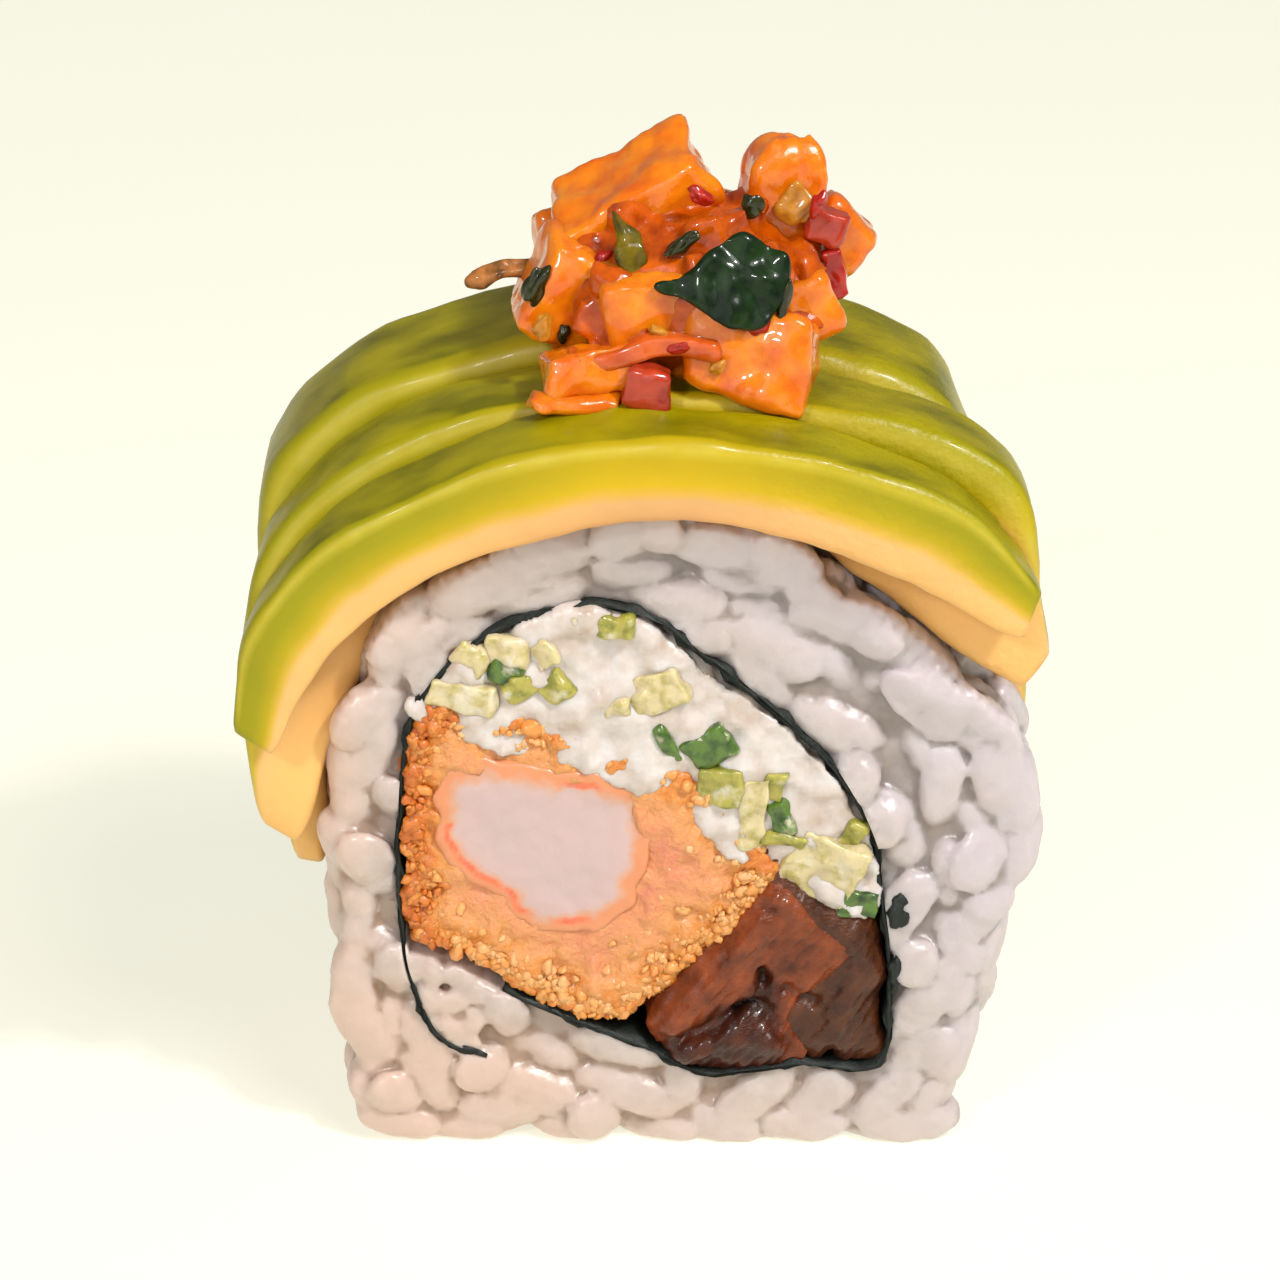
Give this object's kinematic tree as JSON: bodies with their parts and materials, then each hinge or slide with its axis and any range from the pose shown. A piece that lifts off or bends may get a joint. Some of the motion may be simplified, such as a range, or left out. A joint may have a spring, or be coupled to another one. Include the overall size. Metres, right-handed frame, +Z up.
{
  "type": "uramaki roll",
  "caption": "Inside-out sushi roll piece with a fried prawn filling, avocado slices and a mango salsa.",
  "frame": {"origin": "middle of the box at the flat bottom of the rice", "axes": "+Z up; the cut face that shows the filling looks along -Y; +X to the right of that face"},
  "size_m": [0.0532, 0.0274, 0.0694],
  "materials": {
    "rice": "cooked short-grain rice, moist and translucent",
    "nori": "dry dark green-black seaweed sheet",
    "crumb": "golden fried breadcrumb coating",
    "prawn": "cooked prawn flesh, moist, with an orange-red edge",
    "cream": "cream cheese with chopped green onion and cucumber",
    "mushroom": "braised brown mushroom, wet gloss",
    "avocado": "ripe avocado, green rim fading to pale yellow",
    "mango": "glazed diced mango",
    "onion": "glazed red onion",
    "chili": "glazed red chilli",
    "leaf": "glazed dark green herb leaf",
    "salsa": "fine glazed salsa under the larger dice"
  },
  "bodies": {
    "root": {"rice": "rice", "nori": "nori", "crumb_coating": "crumb", "prawn": "prawn", "cream_cheese": "cream", "mushroom_front": "mushroom", "mushroom_back": "mushroom", "avocado_front": "avocado", "avocado_middle": "avocado", "avocado_back": "avocado", "leaf_dark": "leaf", "leaf_olive": "leaf", "leaf_curl": "leaf", "mango_centre": "mango", "mango_right": "mango", "mango_low": "mango", "mango_slab": "mango", "onion_pink": "onion", "mango_left": "mango", "mango_top": "mango", "mango_loop": "mango", "mango_corner": "mango", "onion_purple": "onion", "chili_red": "chili", "salsa_strip": "mango", "mango_side": "mango", "mango_behind_left": "mango", "mango_behind_right": "mango", "mango_behind_low": "mango", "salsa": "salsa"}
  },
  "joints": []
}
